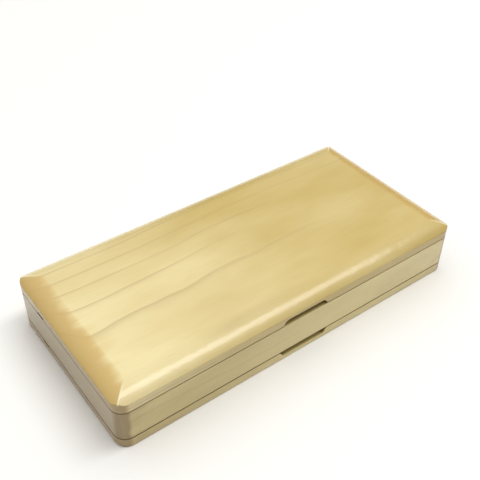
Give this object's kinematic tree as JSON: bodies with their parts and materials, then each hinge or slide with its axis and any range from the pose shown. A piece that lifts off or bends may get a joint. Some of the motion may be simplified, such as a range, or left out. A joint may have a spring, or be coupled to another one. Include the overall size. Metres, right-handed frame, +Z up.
{
  "type": "poker chip case",
  "caption": "Flat rectangular wooden poker chip case, opening from both sides, with bevelled hinged lid, thin hinged base lid, magnetic closure and flocked trays with round wells.",
  "frame": {"origin": "centre of the underside of the lower lid, on the surface that the closed case stands on", "axes": "+X along the case to the right, -Y towards the front with the finger notches, +Y towards the hinges, +Z up"},
  "size_m": [0.22, 0.1098, 0.0345],
  "materials": {
    "lid_maple": "clear semi-gloss lacquer on solid maple",
    "frame_maple": "clear semi-gloss lacquer on solid maple",
    "panel_ply": "bare sanded birch plywood",
    "tray_flock": "black velvet flock on moulded plastic",
    "lining_felt": "thin black felt",
    "hinge_brass": "polished, lightly lacquered",
    "pin_steel": "drawn wire",
    "magnet_nickel": "nickel plated"
  },
  "bodies": {
    "frame": {"front_rail": "frame_maple", "rear_rail": "frame_maple", "left_rail": "frame_maple", "right_rail": "frame_maple", "divider_panel": "panel_ply", "upper_tray": "tray_flock", "lower_tray": "tray_flock", "upper_left_frame_leaf": "hinge_brass", "upper_left_hinge_pin": "pin_steel", "upper_right_frame_leaf": "hinge_brass", "upper_right_hinge_pin": "pin_steel", "upper_frame_magnets": "magnet_nickel", "lower_left_frame_leaf": "hinge_brass", "lower_left_hinge_pin": "pin_steel", "lower_right_frame_leaf": "hinge_brass", "lower_right_hinge_pin": "pin_steel", "lower_frame_magnets": "magnet_nickel"},
    "upper_lid": {"upper_lid": "lid_maple", "upper_lid_lining": "lining_felt", "upper_left_lid_leaf": "hinge_brass", "upper_right_lid_leaf": "hinge_brass", "upper_lid_magnets": "magnet_nickel"},
    "lower_lid": {"lower_lid": "lid_maple", "lower_lid_lining": "lining_felt", "lower_left_lid_leaf": "hinge_brass", "lower_right_lid_leaf": "hinge_brass", "lower_lid_magnets": "magnet_nickel"}
  },
  "joints": [
    {"name": "upper_lid_hinge", "type": "hinge", "parent": "frame", "child": "upper_lid", "pos_m": [0, 0.05505, 0.02485], "axis": [-1, 0, 0], "range_deg": [0, 180]},
    {"name": "lower_lid_hinge", "type": "hinge", "parent": "frame", "child": "lower_lid", "pos_m": [0, 0.05505, 0.00615], "axis": [1, 0, 0], "range_deg": [0, 180]}
  ]
}
